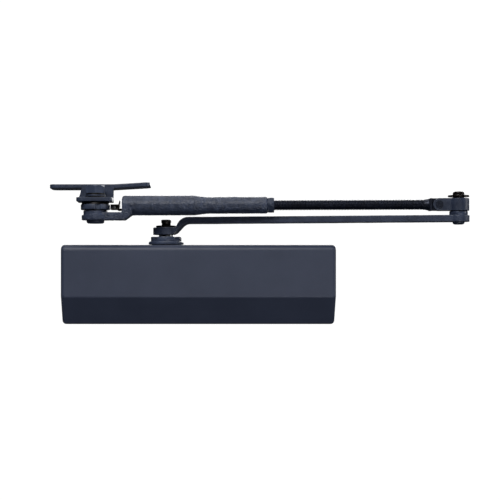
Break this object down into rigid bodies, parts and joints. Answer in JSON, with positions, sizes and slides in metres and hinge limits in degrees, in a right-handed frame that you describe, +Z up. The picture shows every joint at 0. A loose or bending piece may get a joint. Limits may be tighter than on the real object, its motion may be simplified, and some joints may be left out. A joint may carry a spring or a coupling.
{
  "type": "door closer",
  "caption": "Hydraulic door closer: slim covered body, cranked main arm, threaded adjustable forearm and a soffit bracket with a hold-open cam.",
  "frame": {"origin": "middle of the door screw pattern, on the face that lies against the door", "axes": "+X along the body towards the elbow, +Y into the door, +Z up"},
  "size_m": [0.4186, 0.0827, 0.144],
  "materials": {
    "cover_plastic": "fine satin moulded texture",
    "body_enamel": "satin enamel over cast iron",
    "collar_enamel": "satin enamel",
    "arm_enamel": "semi-gloss enamel over a forged surface",
    "cast_enamel": "semi-gloss enamel over a rough casting",
    "strap_enamel": "semi-gloss enamel over pressed steel",
    "rod_black": "dark enamel in the threads",
    "black_oxide": "black oxide",
    "bracket_enamel": "semi-gloss enamel over pressed plate",
    "machined_steel": "ground steel",
    "spring_steel": "oiled spring steel",
    "bush_bronze": "sintered bronze",
    "seal_rubber": "moulded rubber"
  },
  "bodies": {
    "closer": {"closer_body": "body_enamel", "cover": "cover_plastic", "end_plug_left": "machined_steel", "end_plug_right": "machined_steel", "plug_seals": "seal_rubber", "pinion_bush_upper": "bush_bronze", "pinion_bush_lower": "bush_bronze", "pinion_seal": "seal_rubber", "gland_nut": "collar_enamel", "pinion_collar": "collar_enamel", "pinion_cap": "machined_steel", "power_spring": "spring_steel", "valve_seals": "seal_rubber"},
    "arm": {"pinion": "machined_steel", "main_arm": "arm_enamel", "pinion_washer": "black_oxide", "pinion_screw": "black_oxide", "elbow_stud": "black_oxide", "elbow_clip": "black_oxide"},
    "rack_piston": {"piston": "machined_steel", "check_ball": "machined_steel", "check_seat": "machined_steel"},
    "seat": {"spring_seat": "machined_steel"},
    "adjuster": {"spring_adjuster": "machined_steel"},
    "sweep": {"sweep_valve": "machined_steel"},
    "latch": {"latch_valve": "machined_steel"},
    "backcheck": {"backcheck_valve": "machined_steel"},
    "strap": {"elbow_bush": "bush_bronze", "rod_end_strap": "strap_enamel", "strap_rivet": "strap_enamel"},
    "rod": {"threaded_rod": "rod_black"},
    "fore": {"forearm": "cast_enamel", "spring_retainer": "machined_steel", "hold_open_spring": "spring_steel"},
    "nut": {"lock_nut": "strap_enamel"},
    "carrier": {"roller_carrier": "black_oxide", "roller_pin": "black_oxide"},
    "cam_roller": {"roller": "machined_steel"},
    "bracket": {"hold_open_cam": "arm_enamel", "cam_spacer": "black_oxide", "thrust_washer": "black_oxide", "pivot_pin": "arm_enamel", "pivot_bolt": "arm_enamel", "spring_washers": "black_oxide", "flat_washer": "strap_enamel", "soffit_bracket": "bracket_enamel"}
  },
  "joints": [
    {"name": "pinion_turn", "type": "hinge", "parent": "closer", "child": "arm", "pos_m": [-0.0329, -0.027, 0.05085], "axis": [0, 0, 1], "range_deg": [-170, 0], "stiffness_Nm_per_rad": 6, "springref_deg": 85.94},
    {"name": "piston_slide", "type": "slide", "parent": "closer", "child": "rack_piston", "axis": [1, 0, 0], "range_m": [0, 0.0285], "deforming": ["power_spring"]},
    {"name": "spring_adjust_turn", "type": "hinge", "parent": "closer", "child": "adjuster", "pos_m": [0.1, -0.027, 0], "axis": [1, 0, 0], "range_deg": [0, 2160]},
    {"name": "spring_seat_slide", "type": "slide", "parent": "closer", "child": "seat", "axis": [1, 0, 0], "range_m": [-0.0075, 0]},
    {"name": "sweep_valve_turn", "type": "hinge", "parent": "closer", "child": "sweep", "pos_m": [-0.096, -0.0305, -0.03], "axis": [-1, 0, 0], "range_deg": [-360, 360]},
    {"name": "latch_valve_turn", "type": "hinge", "parent": "closer", "child": "latch", "pos_m": [-0.096, -0.0235, -0.03], "axis": [-1, 0, 0], "range_deg": [-360, 360]},
    {"name": "backcheck_valve_turn", "type": "hinge", "parent": "closer", "child": "backcheck", "pos_m": [0.096, -0.027, -0.03], "axis": [1, 0, 0], "range_deg": [-360, 360]},
    {"name": "elbow_turn", "type": "hinge", "parent": "arm", "child": "strap", "pos_m": [0.25692, -0.07202, 0.0791], "axis": [0, 0, 1], "range_deg": [0, 150]},
    {"name": "rod_tilt", "type": "hinge", "parent": "strap", "child": "rod", "pos_m": [0.23745, -0.07094, 0.0791], "axis": [0.0555, 0.9985, 0], "range_deg": [-0.5, 2.5]},
    {"name": "forearm_length", "type": "slide", "parent": "rod", "child": "fore", "axis": [0.9985, -0.0555, 0], "range_m": [-0.018, 0.028]},
    {"name": "lock_nut_turn", "type": "hinge", "parent": "fore", "child": "nut", "pos_m": [0.06911, -0.06159, 0.0791], "axis": [0.9985, -0.0555, 0], "continuous": true},
    {"name": "roller_press", "type": "slide", "parent": "fore", "child": "carrier", "axis": [0.9985, -0.0555, 0], "range_m": [0, 0.0022], "stiffness_N_per_m": 8000, "springref_m": -0.004, "deforming": ["hold_open_spring"]},
    {"name": "roller_spin", "type": "hinge", "parent": "carrier", "child": "cam_roller", "pos_m": [-0.08425, -0.05307, 0.07755], "axis": [0, 0, 1], "continuous": true},
    {"name": "bracket_turn", "type": "hinge", "parent": "fore", "child": "bracket", "pos_m": [-0.10322, -0.05201, 0.06465], "axis": [0, 0, 1], "range_deg": [-120, 120]}
  ],
  "couplings": [
    {"joint": "piston_slide", "follows": "pinion_turn", "m_per_rad": -0.0096},
    {"joint": "spring_adjust_turn", "follows": "spring_seat_slide", "rad_per_m": -5026.5}
  ]
}
